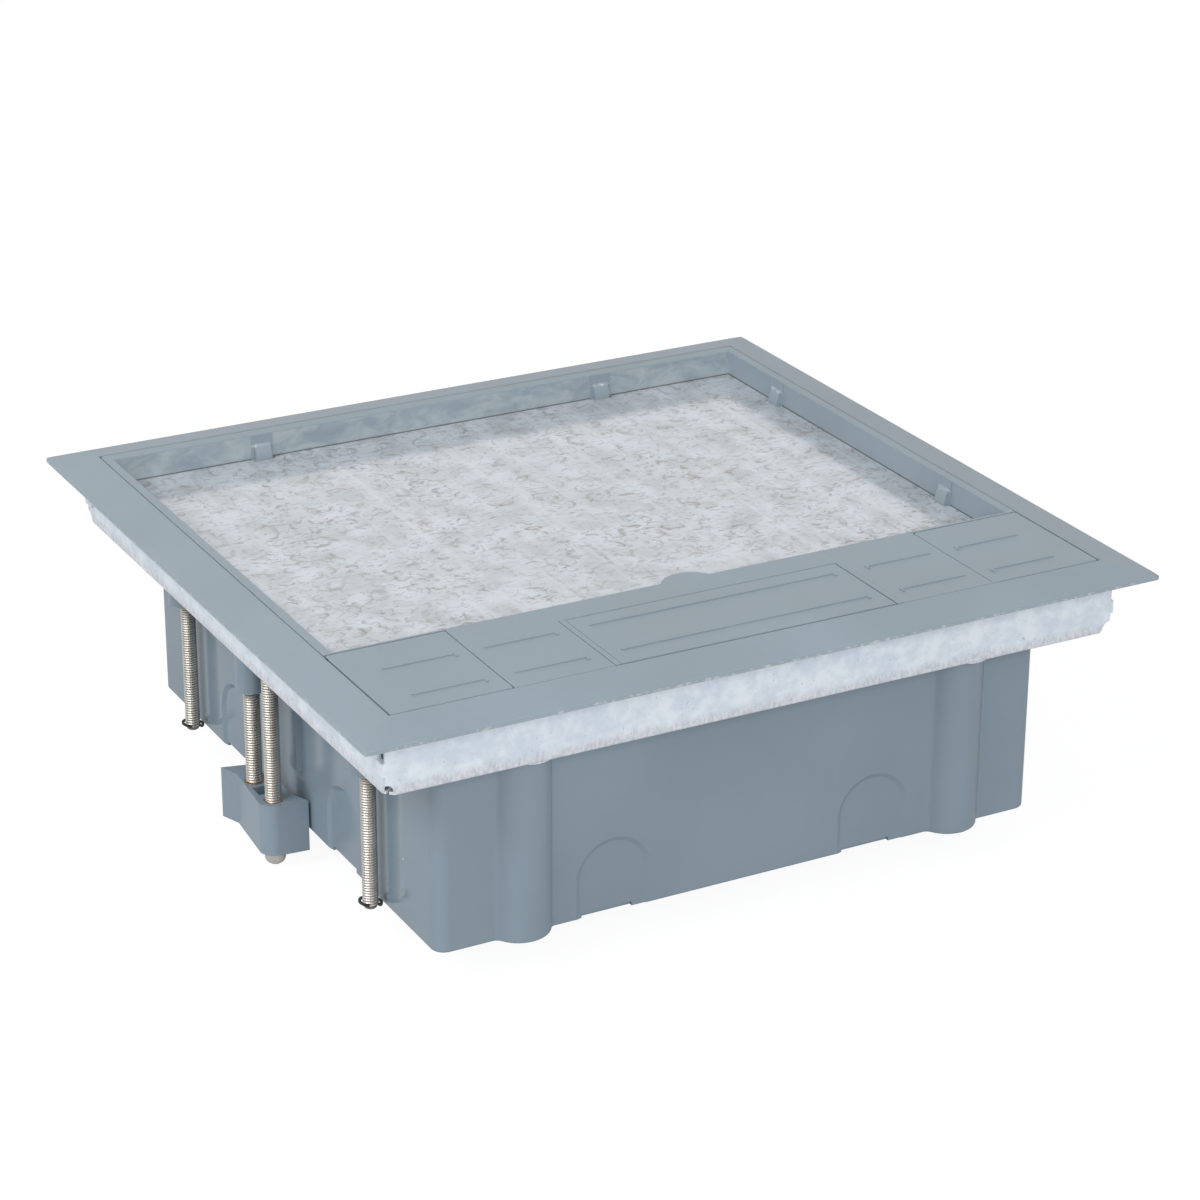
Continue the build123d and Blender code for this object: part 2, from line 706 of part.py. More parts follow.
def lug_inserts():
    """Threaded inserts in the lugs, which climb on the height screws."""
    ring = upright(0, 0, lug_bottom, lug_bottom + insert_height, insert_r)
    ring -= upright(0, 0, lug_bottom, lug_bottom + insert_height, screw_r + thread_gap)
    places = [(x, y) for x in (-height_screw_x, height_screw_x)
              for y in (-height_screw_y, height_screw_y)]
    return [Pos(x, y, 0) * ring for x, y in places]


def slotted_screw(x, y, end):
    """A long screw that hangs by its slotted head on the skirt's lip."""
    head_top = lip_top + screw_head_height
    screw = upright(x, y, end, lip_top, screw_r)
    screw = chamfer(screw.edges().group_by(Axis.Z)[0], screw_point)
    head = upright(x, y, lip_top, head_top, screw_head_r)
    head = fillet(top_edges(head), screw_head_edge)
    slot = block(x - screw_head_r, x + screw_head_r, y - slot_width / 2, y + slot_width / 2,
                 head_top - slot_depth, head_top)
    return screw + head - slot


def retaining_clip(x, y):
    """An E-clip near the end of a height screw: an open ring with three inner lands."""
    low, high = clip_z - clip_thickness / 2, clip_z + clip_thickness / 2
    bore = clip_r - clip_ring
    ring = upright(x, y, low, high, clip_r) - upright(x, y, low, high, bore)
    ring -= block(x - clip_mouth / 2, x + clip_mouth / 2, y - clip_r, y, low, high)
    land = block(screw_r - clip_bite, bore + clip_bite, -clip_land / 2, clip_land / 2, low, high)
    for angle in (0, 90, 180):
        ring += Pos(x, y, 0) * Rot(0, 0, angle) * land
    return ring - upright(x, y, low, high, screw_r)


def clamp_screw():
    """Left clamp screw, with the domed stop on its end below the claw."""
    stop_top = claw_bottom - tail_gap
    screw = slotted_screw(-clamp_x, clamp_screw_y, stop_top)
    stop = upright(-clamp_x, clamp_screw_y, stop_top - tail_height, stop_top, tail_r)
    return screw + fillet(stop.edges().group_by(Axis.Z)[0], tail_dome)


def guide_rod():
    """Left guide rod, fixed in the skirt's lip."""
    return slotted_screw(-clamp_x, guide_y, guide_end)


def claw():
    """Left claw: a Z-shaped block with one wing outward and one inward."""
    middle = (guide_y + clamp_screw_y) / 2
    nose = middle - clamp_screw_y
    outer = [(-x, y) for x, y in (claw_waist, claw_outer_tip)]
    inner = [claw_tip_corner, claw_back, (claw_hollow[0], -claw_hollow[1]),
             (claw_inner_tip[0], -claw_inner_tip[1])]
    flanks = Polyline((-nose_r, -nose), *outer, *inner, (0, -nose - nose_r))
    turn = nose_r * cos(radians(45))
    nose_arc = ThreePointArc((0, -nose - nose_r), (-turn, -nose - turn), (-nose_r, -nose))
    solid = extrude(Pos(-clamp_x, middle, claw_bottom) * make_face(flanks + nose_arc), claw_height)
    for y in (guide_y, clamp_screw_y):
        solid -= upright(-clamp_x, y, claw_bottom, claw_top, claw_insert_r)
    half = claw_window / 2
    return solid - block(-clamp_x - half, -clamp_x + half, middle - half, middle + half,
                         claw_bottom, claw_top)


def claw_inserts():
    """Brass inserts of the left claw: one threaded, one a plain bush on the guide rod."""
    rings = []
    for y in (guide_y, clamp_screw_y):
        ring = upright(-clamp_x, y, claw_bottom, claw_top, claw_insert_r)
        rings.append(ring - upright(-clamp_x, y, claw_bottom, claw_top, screw_r + thread_gap))
    return rings


def main():
    os.makedirs("parts", exist_ok=True)
    save("trim_frame", trim_frame())
    front = skirt_front()
    save("skirt_front", front)
    save("skirt_rear", mirror(front, Plane.XZ))
    save("skirt_left", skirt_left())
    save("skirt_right", skirt_right())
    save("fixing_screws", *fixing_screws())
    rod = guide_rod()
    save("guide_rods", rod, half_turned(rod))
    save("lid_frame", lid_frame())
    save("carpet_plate", carpet_plate())
    save("carpet_clips", *carpet_clips())
    save("hinge_pins", *hinge_pins())
    save("lid_bridge", lid_bridge())
    save("handle_tray", handle_tray())
    save("handle_panel", handle_panel())
    flap = cable_flap()
    save("cable_flap_left", flap)
    save("cable_flap_right", mirror(flap, Plane.YZ))
    save("housing", housing())
    save("lug_inserts", *lug_inserts())
    for name, row in zip(("front", "middle", "rear"), support_rows()):
        save(f"module_support_{name}", module_support(row))
    save("support_screws", *support_screws())
    for side, x in (("left", -height_screw_x), ("right", height_screw_x)):
        for end, y in (("front", -height_screw_y), ("rear", height_screw_y)):
            save(f"height_screw_{end}_{side}", slotted_screw(x, y, height_screw_end))
            save(f"retaining_clip_{end}_{side}", retaining_clip(x, y))
    screw, block_solid, rings = clamp_screw(), claw(), claw_inserts()
    save("clamp_screw_left", screw)
    save("clamp_screw_right", half_turned(screw))
    save("claw_left", block_solid)
    save("claw_right", half_turned(block_solid))
    save("claw_inserts_left", *rings)
    save("claw_inserts_right", *[half_turned(ring) for ring in rings])


main()
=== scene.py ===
"""Looks of a floor socket box: moulded grey covers, galvanised sheet and threaded screws."""
import json
from math import cos, pi, radians, sin

import bmesh
import bpy
from mathutils import Matrix, Vector


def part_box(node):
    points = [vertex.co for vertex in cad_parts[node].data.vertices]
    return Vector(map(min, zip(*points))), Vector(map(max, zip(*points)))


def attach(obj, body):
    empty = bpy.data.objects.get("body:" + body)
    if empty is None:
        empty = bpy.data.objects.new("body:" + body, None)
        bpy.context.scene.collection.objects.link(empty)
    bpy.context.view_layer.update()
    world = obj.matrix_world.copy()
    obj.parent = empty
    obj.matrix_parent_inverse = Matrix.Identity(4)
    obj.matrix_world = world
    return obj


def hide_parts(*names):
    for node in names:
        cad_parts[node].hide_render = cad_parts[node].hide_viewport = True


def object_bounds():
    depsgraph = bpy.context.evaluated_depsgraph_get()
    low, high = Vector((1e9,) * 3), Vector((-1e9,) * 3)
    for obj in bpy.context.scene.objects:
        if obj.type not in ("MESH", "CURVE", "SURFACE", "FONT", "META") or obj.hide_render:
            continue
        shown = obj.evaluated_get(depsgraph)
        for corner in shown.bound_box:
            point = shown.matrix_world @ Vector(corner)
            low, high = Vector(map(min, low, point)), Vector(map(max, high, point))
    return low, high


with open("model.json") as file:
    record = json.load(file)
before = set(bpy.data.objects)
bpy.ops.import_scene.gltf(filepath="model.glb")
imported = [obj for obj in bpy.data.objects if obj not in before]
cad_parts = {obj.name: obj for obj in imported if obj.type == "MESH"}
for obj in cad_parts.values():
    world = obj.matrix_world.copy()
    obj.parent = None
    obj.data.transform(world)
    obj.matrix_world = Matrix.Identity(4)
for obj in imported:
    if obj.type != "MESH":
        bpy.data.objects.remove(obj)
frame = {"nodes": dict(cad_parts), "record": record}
cad_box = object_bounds()
nodes = frame["nodes"]

MM = 0.001

# Camera, fitted to the corners of the trim frame
CAMERA_PLACE = Vector((-538.5, -1012.1, 462.9)) * MM
CAMERA_TURN, CAMERA_TILT, CAMERA_ROLL = 28.37, 23.345, 0.287
LENS_MM, SENSOR_MM = 103.58, 36.0

# Panels of light, all turned to one place: name, place, size and power
LIGHT_TARGET = (0, 0, -0.03)
LIGHTS = (
    ("key", (-1.28, -0.2, 1.05), (1.0, 0.8), 13),
    ("front", (-0.3, -1.75, 0.8), (1.2, 0.8), 14),
    ("top", (0.1, -0.1, 1.6), (1.4, 1.4), 0.4),
)
AMBIENT = 0.47
FLOOR_SIZE, FLOOR_GAP, FLOOR_GLOW = 6.0, 0.4 * MM, 1.135

# The lid's box, the plate's surface in its well, and the well's rear wall
LID_LOW, LID_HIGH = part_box("lid_frame")
WELL_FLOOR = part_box("carpet_plate")[1].z
WELL_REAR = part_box("carpet_clips")[1].y

# Threads of the height screws, and of the clamp screws and guide rods
PITCH = 0.97 * MM
THREAD_R = 2.75 * MM
CLAMP_THREAD_R = 2.95 * MM
THREAD_DEPTH = 0.42 * MM
THREAD_STEPS = 24
CREST_START, CREST_END = 0.42 * PITCH, 0.55 * PITCH
END_TAPER, END_REACH = 0.9, 3 * PITCH
THREAD_MERGE, END_MERGE = 0.05 * PITCH, 0.02 * PITCH

# Heads, the necks under them and the points of all long screws
HEAD_R = 4.25 * MM
HEAD_HEIGHT = 2.8 * MM
HEAD_EDGE = 0.8 * MM
HEAD_SLOT = 1.2 * MM
HEAD_SLOT_DEPTH = 1.4 * MM
CORE_INSET, CORE_RISE = 0.03 * MM, 0.02 * MM
NECK = 1.3 * MM
ROUND_STEPS = 32
POINT_HEIGHT = 0.9 * MM
POINT_OVERLAP = 0.36 * MM
POINT_CHAMFER = 0.3 * MM
POINT_SLIMNESS = 0.93
POINT_TAPER = 0.85

# Domed stops at the lower ends of the clamp screws
STOP_R = 3.7 * MM
STOP_HEIGHT = 5.2 * MM
STOP_DOME = 2.8 * MM
STOP_ANGLES = (0, 0.3, 0.6, 0.9, 1.2, pi / 2)

# Open spring clips near the ends of the height screws
CLIP_RING = (3.3 * MM, 4.2 * MM)
CLIP_THICKNESS = 0.7 * MM
CLIP_START, CLIP_SWEEP = -58, 296
CLIP_LUGS = (-50, 90, 230)
CLIP_STEPS = 30
CLIP_LUG_WIDTH = 1.3 * MM
CLIP_LUG_THICKNESS = 0.63 * MM
CLIP_LUG_GAP = 0.05 * MM
CLIP_TILT = 9

# Corners of the trim frame's flange, drawn crisper than the plain model's
FLANGE_CORNER = 3.5 * MM
CORNER_SHARPNESS = 0.85

# Shallow lips of the trim frame that nearly close the lid's seams at the right and the rear
SEAM = 0.5 * MM
SEAM_CLEARANCE = 0.14 * MM
LIP_DROP = 0.05 * MM
SIDE_LIP_DEPTH = 0.3 * MM
REAR_LIP_DEPTH = 0.25 * MM

# Doubles are merged within this distance
MERGE = 0.001 * MM


class Wire:
    """A shader socket that takes part in arithmetic."""

    def __init__(self, finish, socket):
        self.finish = finish
        self.socket = socket

    def maths(self, operation, *values):
        inputs = {i: v for i, v in enumerate(values)}
        return self.finish.add("ShaderNodeMath", inputs, operation=operation)

    def __add__(self, other):
        return self.maths("ADD", self, other)

    def __sub__(self, other):
        return self.maths("SUBTRACT", self, other)

    def __rsub__(self, other):
        return self.maths("SUBTRACT", other, self)

    def __mul__(self, other):
        return self.maths("MULTIPLY", self, other)

    __radd__ = __add__
    __rmul__ = __mul__


class Finish:
    """The nodes of a material or a world, added one call at a time."""

    def __init__(self, owner):
        owner.use_nodes = True
        self.owner = owner
        self.tree = owner.node_tree
        self.tree.nodes.clear()

    def add(self, kind, inputs=None, output=0, **settings):
        """One node: settings first, then its sockets by name or number; gives one output."""
        node = self.tree.nodes.new(kind)
        for key, value in settings.items():
            setattr(node, key, value)
        for key, value in (inputs or {}).items():
            socket = node.inputs[key]
            if isinstance(value, Wire):
                self.tree.links.new(value.socket, socket)
            elif isinstance(value, tuple) and socket.type == "RGBA":
                socket.default_value = (*value, 1)
            else:
                socket.default_value = value
        return Wire(self, node.outputs[output]) if len(node.outputs) else None

    def place(self, scale=(1, 1, 1)):
        """Object coordinates, stretched."""
        return self.stretch(self.add("ShaderNodeTexCoord", output="Object"), scale)

    def height(self):
        return self.add("ShaderNodeSeparateXYZ", {"Vector": self.place()}, output="Z")

    def stretch(self, where, scale, turn=(0, 0, 0), shift=(0, 0, 0)):
        inputs = {"Vector": where, "Scale": scale, "Rotation": turn, "Location": shift}
        return self.add("ShaderNodeMapping", inputs)

    def noise(self, where, scale, detail=2.0, roughness=0.5, distortion=0.0, output="Fac"):
        inputs = {"Vector": where, "Scale": scale, "Detail": detail, "Roughness": roughness,
                  "Distortion": distortion}
        return self.add("ShaderNodeTexNoise", inputs, output=output)

    def cells(self, where, scale, output="Color"):
        return self.add("ShaderNodeTexVoronoi", {"Vector": where, "Scale": scale}, output=output)

    def step(self, value, low, high):
        """0 below low, 1 above high, smooth between."""
        inputs = {"Value": value, "From Min": low, "From Max": high}
        return self.add("ShaderNodeMapRange", inputs, interpolation_type="SMOOTHSTEP")

    def least(self, first, second):
        return self.add("ShaderNodeMath", {0: first, 1: second}, operation="MINIMUM")

    def mix(self, share, first, second):
        return self.add("ShaderNodeMix", {0: share, 6: first, 7: second}, output=2,
                        data_type="RGBA")

    def bump(self, height, distance):
        return self.add("ShaderNodeBump", {"Height": height, "Distance": distance})

    def surface(self, **sockets):
        """Closes the material with one shader, whose sockets are given by name."""
        inputs = {key.replace("_", " "): value for key, value in sockets.items()}
        shader = self.add("ShaderNodeBsdfPrincipled", inputs)
        self.add("ShaderNodeOutputMaterial", {"Surface": shader})
        return self.owner


def moulded(name, colour, roughness, grain, grain_size, walled=False):
    """Moulded plastic: one colour with slight clouds and streaks, a fine texture and light specks.

    The arris at the flange's foot carries a painted highlight, a pale line, with pale nicks. The
    walls of a well are glossier, their rear wall mottled by painted caustic light from the zinc
    beside it, and dark along their foot.
    """
    f = Finish(bpy.data.materials.new(name))
    where = f.place()
    clouds = f.noise(where, 14.0, 3.0)
    streaks = f.noise(f.place(scale=(1, 1, 0.08)), 160.0, 3.0)
    dark, light, chalky = (tuple(c * share for c in colour) for share in (0.95, 1.05, 1.35))
    tint = f.mix(f.step(clouds, 0.3, 0.7), dark, light)
    tint = f.mix(f.step(streaks, 0.62, 0.8) * 0.10, tint, chalky)
    dots = f.cells(where, 95.0, output="Distance")
    chance = f.noise(where, 23.0, 1.0)
    specks = (1 - f.step(dots, 0.020, 0.034)) * f.step(chance, 0.60, 0.64)
    tint = f.mix(specks * 0.75, tint, (0.82, 0.84, 0.85))
    fine = f.noise(where, grain_size, 2.0)
    rough = f.step(clouds, 0.2, 0.8) * 0.06 + roughness + specks * 0.2
    height = f.height()
    if walled:
        wall = 1 - f.step(height, LID_HIGH.z - 0.7 * MM, LID_HIGH.z - 0.3 * MM)
        # painted caustic light: pale mottles on the rear wall of the well stand in for light
        # thrown by the zinc
        painted_caustics = f.noise(f.place(scale=(1.0, 1.0, 1.6)), 75.0, 4.0, 0.6, 0.6)
        rear = f.step(f.add("ShaderNodeSeparateXYZ", {"Vector": where}, output="Y"),
                      WELL_REAR - 1.5 * MM, WELL_REAR - 0.5 * MM)
        tint = f.mix(f.step(painted_caustics, 0.30, 0.72) * wall * rear * 0.42, tint, (0.62, 0.66, 0.66))
        foot = 1 - f.step(height, WELL_FLOOR + 0.15 * MM, WELL_FLOOR + 0.6 * MM)
        foot = foot * f.step(height, WELL_FLOOR - 0.4 * MM, WELL_FLOOR - 0.2 * MM)
        tint = f.mix(foot * 0.75, tint, (0.10, 0.10, 0.095))
        rough = rough - wall * 0.22
    else:
        # painted highlight: an even pale line along the flange's lower arris, with pale nicks in
        # it
        arris = f.step(height, 0.0, 0.1 * MM) * (1 - f.step(height, 0.8 * MM, 1.2 * MM))
        nicks = f.step(f.noise(where, 420.0, 3.0, 0.65), 0.50, 0.66)
        tint = f.mix(arris * (0.10 + nicks * 0.45), tint, (0.70, 0.73, 0.75))
    normal = f.bump(fine, grain)
    return f.surface(Base_Color=tint, Roughness=rough, Normal=normal)


def flakes(f, where, scale, size, seed, keep):
    """Crescents of random turn, one in a share of the cells: sharp outside, fading inwards."""
    moved = f.stretch(where, (1, 1, 1), shift=(seed, seed, 0))
    centre = f.cells(moved, scale, output="Position")
    chance = f.add("ShaderNodeSeparateColor", {"Color": f.cells(moved, scale)}, output="Red")
    inward = f.add("ShaderNodeVectorMath", {0: moved, 1: centre}, operation="SUBTRACT")
    far = f.add("ShaderNodeVectorMath", {0: inward}, operation="LENGTH", output="Value")
    turned = f.add("ShaderNodeVectorRotate", {"Vector": inward, "Angle": chance * 40.0},
                   rotation_type="Z_AXIS")
    ahead = f.add("ShaderNodeSeparateXYZ", {"Vector": turned}, output="Y")
    band = f.step(far, size * 0.50, size * 0.98) * (1 - f.step(far, size, size * 1.10))
    return band * f.step(ahead, -0.1 * size, 0.5 * size) * f.step(chance, 1 - keep, 1.02 - keep)


def spangled(name):
    """Hot-dip galvanised sheet: pale bluish zinc with rolling lines and curled brownish flakes."""
    f = Finish(bpy.data.materials.new(name))
    where = f.place(scale=(1, 1, 0))
    bend = f.noise(where, 170.0, 3.0, output="Color")
    warped = f.add("ShaderNodeVectorMath", {0: bend, 1: (0.004, 0.004, 0.0), 2: where},
                   operation="MULTIPLY_ADD")
    patches = f.step(f.noise(where, 34.0, 3.0, 0.6), 0.34, 0.62)
    marks = flakes(f, warped, 150.0, 0.0033, 0.31, 0.60) * (0.40 + patches * 0.60)
    marks = marks + flakes(f, warped, 240.0, 0.0021, 0.77, 0.65) * (0.45 + patches * 0.35)
    marks = marks + flakes(f, warped, 90.0, 0.0054, 0.13, 0.35) * (0.30 + patches * 0.55)
    strokes = f.stretch(warped, (1.0, 3.2, 1.0), (0, 0, radians(-20)))
    curled = f.noise(strokes, 230.0, 3.0, 0.55, 1.0)
    marks = marks * 0.85 + f.step(curled, 0.58, 0.62) * (0.30 + patches * 0.50)
    clouds = f.noise(where, 60.0, 4.0, 0.6)
    pale = f.mix(f.step(clouds, 0.35, 0.66), (0.52, 0.555, 0.585), (0.66, 0.70, 0.76))
    tint = f.mix(f.least(marks, 1.0) * 0.74, pale, (0.27, 0.25, 0.225))
    rolled = f.noise(f.place(scale=(1.0, 0.03, 1.0)), 150.0, 3.0, 0.6)
    tint = f.mix(f.step(rolled, 0.50, 0.72) * 0.45, tint, (0.74, 0.775, 0.83))
    soot = f.noise(where, 900.0, 2.0)
    tint = f.mix(f.step(soot, 0.68, 0.76) * 0.35, tint, (0.30, 0.30, 0.30))
    rough = 0.12 + marks * 0.15 + f.step(clouds, 0.4, 0.7) * 0.06
    normal = f.bump(f.noise(warped, 160.0, 3.0), 0.00005)
    return f.surface(Base_Color=tint, Metallic=0.28, Roughness=rough, Normal=normal)


def galvanised(name):
    """Thin galvanised sheet of the skirt: bluish white, violet-grey and streaky near its foot."""
    f = Finish(bpy.data.materials.new(name))
    where = f.place()
    clouds = f.noise(where, 150.0, 5.0, 0.65)
    pale = f.mix(f.step(clouds, 0.36, 0.66), (0.68, 0.757, 0.835), (0.82, 0.878, 0.936))
    ragged = f.noise(f.place(scale=(1.0, 1.0, 0.4)), 330.0, 4.0, 0.65)
    low = 1 - f.step(f.height() + ragged * 0.007, -0.0168, -0.0130)
    grey = f.mix(f.step(f.noise(f.place(scale=(1.0, 1.0, 0.5)), 900.0, 2.0), 0.35, 0.65),
                 (0.52, 0.525, 0.57), (0.74, 0.75, 0.79))
    tint = f.mix(low * 0.72, pale, grey)
    spots = f.noise(where, 640.0, 3.0, 0.6)
    tint = f.mix(f.step(spots, 0.66, 0.74) * 0.6, tint, (0.30, 0.30, 0.31))
    rough = 0.36 + f.step(clouds, 0.3, 0.7) * 0.12
    normal = f.bump(clouds, 0.00008)
    return f.surface(Base_Color=tint, Metallic=0.15, Roughness=rough, Normal=normal)


def plated(name):
    """Warm nickel on steel, with painted shade in the grooves of every long screw's thread."""
    f = Finish(bpy.data.materials.new(name))
    where = f.place(scale=(1, 1, 0))
    nearest = 1.0
    for x, y, crest_r in THREADS:
        far = f.add("ShaderNodeVectorMath", {0: where, 1: (x, y, 0)}, operation="DISTANCE",
                    output="Value")
        nearest = f.least(far - crest_r, nearest)
    wear = f.noise(f.place(), 160.0, 2.0)
    # painted shade: a dark colour in the thread's grooves, the nickel tones on its crests
    crest = f.step(nearest, -THREAD_DEPTH, -0.08 * MM)
    light = f.mix(f.step(wear, 0.3, 0.7), (0.57, 0.54, 0.495), (0.66, 0.635, 0.59))
    tint = f.mix(crest, (0.23, 0.215, 0.19), light)
    rough = 0.38 + f.step(wear, 0.4, 0.7) * 0.06
    normal = f.bump(wear, 0.00001)
    return f.surface(Base_Color=tint, Metallic=0.88, Roughness=rough, Normal=normal)


def blackened(name):
    """Blackened spring steel of the clips."""
    f = Finish(bpy.data.materials.new(name))
    where = f.place()
    oil = f.noise(where, 700.0, 2.0)
    tint = f.mix(f.step(oil, 0.4, 0.7), (0.014, 0.014, 0.015), (0.045, 0.045, 0.047))
    return f.surface(Base_Color=tint, Metallic=0.2, Roughness=0.16 + oil * 0.15,
                     Normal=f.bump(oil, 0.00004))


def brazed(name):
    """Orange brass of the inserts."""
    f = Finish(bpy.data.materials.new(name))
    where = f.place()
    tarnish = f.noise(where, 900.0, 2.0)
    tint = f.mix(f.step(tarnish, 0.4, 0.7), (0.50, 0.25, 0.09), (0.72, 0.44, 0.20))
    return f.surface(Base_Color=tint, Metallic=0.9, Roughness=0.3 + tarnish * 0.1,
                     Normal=f.bump(tarnish, 0.00003))


def node_axis(name):
    """Centre in X and Y, and the height of the top and the bottom, of a node."""
    low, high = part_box(name)
    return (low.x + high.x) / 2, (low.y + high.y) / 2, high.z, low.z


def rod_places():
    """Centre in plan of the guide rods at the left and the right."""
    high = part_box("guide_rods")[1]
    x, y = high.x - HEAD_R, high.y - HEAD_R
    return (-x, y), (x, -y)


def thread_places():
    """Centre in plan and thread radius of the height screws, clamp screws and guide rods."""
    places = [(*place, CLAMP_THREAD_R) for place in rod_places()]
    for name in nodes:
        if name.startswith("height_screw"):
            places.append((*node_axis(name)[:2], THREAD_R))
        elif name.startswith("clamp_screw"):
            places.append((*node_axis(name)[:2], CLAMP_THREAD_R))
    return places


THREADS = thread_places()
cover_plastic = moulded("cover_plastic", (0.277, 0.338, 0.382), 0.42, 0.00006, 2600.0)
well_plastic = moulded("well_plastic", (0.277, 0.338, 0.382), 0.42, 0.00006, 2600.0, walled=True)
housing_plastic = moulded("housing_plastic", (0.238, 0.308, 0.364), 0.12, 0.00001, 900.0)
plate_zinc = spangled("plate_zinc")
skirt_zinc = galvanised("skirt_zinc")
thread_nickel = plated("thread_nickel")
clip_black = blackened("clip_black")
insert_brass = brazed("insert_brass")

finishes = {
    "cover_plastic": cover_plastic,
    "housing_plastic": housing_plastic,
    "galvanised": skirt_zinc,
    "screw_steel": thread_nickel,
    "clip_steel": clip_black,
    "insert_brass": insert_brass,
}
slots = {row["node"]: row["material_slot"] for row in frame["record"]["subparts"]}
for name, node in nodes.items():
    node.data.materials.clear()
    node.data.materials.append(finishes[slots[name]])
nodes["carpet_plate"].data.materials[0] = plate_zinc
nodes["lid_frame"].data.materials[0] = well_plastic


def piece(name, mesh, body, slot, material, *replaced):
    """Turns a bmesh into an object that rides on a body and takes the given finish; the slot is
    not used.
    """
    data = bpy.data.meshes.new(name)
    mesh.to_mesh(data)
    mesh.free()
    data.materials.append(material)
    solid = bpy.data.objects.new(name, data)
    bpy.context.scene.collection.objects.link(solid)
    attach(solid, body)
    if replaced:
        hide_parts(*replaced)


def chain(mesh, points):
    """Vertices joined by edges, from radii and heights."""
    verts = [mesh.verts.new((r, 0, z)) for r, z in points]
    edges = [mesh.edges.new(pair) for pair in zip(verts, verts[1:])]
    return verts + edges


def thread(mesh, x, y, low, high, crest):
    """A helical thread between two heights, closed at both ends."""
    core = crest - THREAD_DEPTH
    turns = int((high - low) / PITCH) - 1
    points = []
    for i in range(turns):
        z = low + i * PITCH
        points += [(core, z), (crest, z + CREST_START), (crest, z + CREST_END)]
    points.append((core, low + turns * PITCH))
    part = bmesh.new()
    bmesh.ops.spin(part, geom=chain(part, points), cent=(0, 0, 0), axis=(0, 0, 1), angle=2 * pi,
                   dvec=(0, 0, PITCH / THREAD_STEPS), steps=THREAD_STEPS, use_merge=False)
    bmesh.ops.remove_doubles(part, verts=part.verts, dist=THREAD_MERGE)
    rims = [e for e in part.edges if e.is_boundary]
    for end in (low, high):
        rim = [e for e in rims if abs(e.verts[0].co.z - end) < END_REACH]
        grown = bmesh.ops.extrude_edge_only(part, edges=rim)["geom"]
        for v in (g for g in grown if isinstance(g, bmesh.types.BMVert)):
            v.co = Vector((v.co.x * END_TAPER, v.co.y * END_TAPER, end))
    bmesh.ops.remove_doubles(part, verts=part.verts, dist=END_MERGE)
    bmesh.ops.holes_fill(part, edges=[e for e in part.edges if e.is_boundary], sides=0)
    bmesh.ops.translate(part, verts=part.verts, vec=(x, y, 0))
    join(mesh, part)


def join(mesh, part):
    """Adds one closed bmesh to another, with its faces turned outwards, and frees it."""
    bmesh.ops.recalc_face_normals(part, faces=part.faces)
    if part.calc_volume(signed=True) < 0:
        bmesh.ops.reverse_faces(part, faces=part.faces)
    data = bpy.data.meshes.new("part")
    part.to_mesh(data)
    part.free()
    mesh.from_mesh(data)
    bpy.data.meshes.remove(data)


def turned(points):
    """A solid of revolution about Z, from radii and heights, closed on the axis."""
    part = bmesh.new()
    bmesh.ops.spin(part, geom=chain(part, points), cent=(0, 0, 0), axis=(0, 0, 1), angle=2 * pi,
                   steps=ROUND_STEPS, use_merge=True)
    bmesh.ops.remove_doubles(part, verts=part.verts, dist=MERGE)
    return part


def add_turned(mesh, x, y, points):
    """Adds a solid of revolution about an upright axis."""
    part = turned(points)
    bmesh.ops.translate(part, verts=part.verts, vec=(x, y, 0))
    join(mesh, part)


def slotted_head(mesh, x, y, seat):
    """A cheese head with a screwdriver slot."""
    top = seat + HEAD_HEIGHT
    floor = top - HEAD_SLOT_DEPTH
    inner_r, under = HEAD_R - CORE_INSET, seat + CORE_RISE
    add_turned(mesh, x, y, [(0, under), (inner_r, under), (inner_r, floor), (0, floor)])
    arc = [(HEAD_R - HEAD_EDGE + HEAD_EDGE * sin(a), top - HEAD_EDGE + HEAD_EDGE * cos(a))
           for a in (pi / 2, pi / 3, pi / 6, 0)]
    for side in (-1, 1):
        part = turned([(0, seat), (HEAD_R, seat), *arc, (0, top)])
        cut = bmesh.ops.bisect_plane(part, geom=part.verts[:] + part.edges[:] + part.faces[:],
                                     plane_co=(0, side * HEAD_SLOT / 2, 0),
                                     plane_no=(0, side, 0), clear_inner=True)
        edges = [g for g in cut["geom_cut"] if isinstance(g, bmesh.types.BMEdge)]
        bmesh.ops.holes_fill(part, edges=edges, sides=0)
        bmesh.ops.translate(part, verts=part.verts, vec=(x, y, 0))
        join(mesh, part)


def neck(mesh, x, y, seat, crest):
    """The plain length between a head and its thread, which passes the hole in the lip."""
    r, low = crest - THREAD_DEPTH, seat - NECK - PITCH
    add_turned(mesh, x, y, [(0, low), (r, low), (r, seat), (0, seat)])


def long_screw(mesh, x, y, seat, low, crest=THREAD_R):
    """Head, neck, thread and a turned-down point."""
    slotted_head(mesh, x, y, seat)
    neck(mesh, x, y, seat, crest)
    r, point_top = (crest - THREAD_DEPTH) * POINT_SLIMNESS, low + POINT_HEIGHT
    add_turned(mesh, x, y, [(0, low), (r * POINT_TAPER, low), (r, low + POINT_CHAMFER),
                            (r, point_top), (0, point_top)])
    thread(mesh, x, y, point_top - POINT_OVERLAP, seat - NECK, crest)


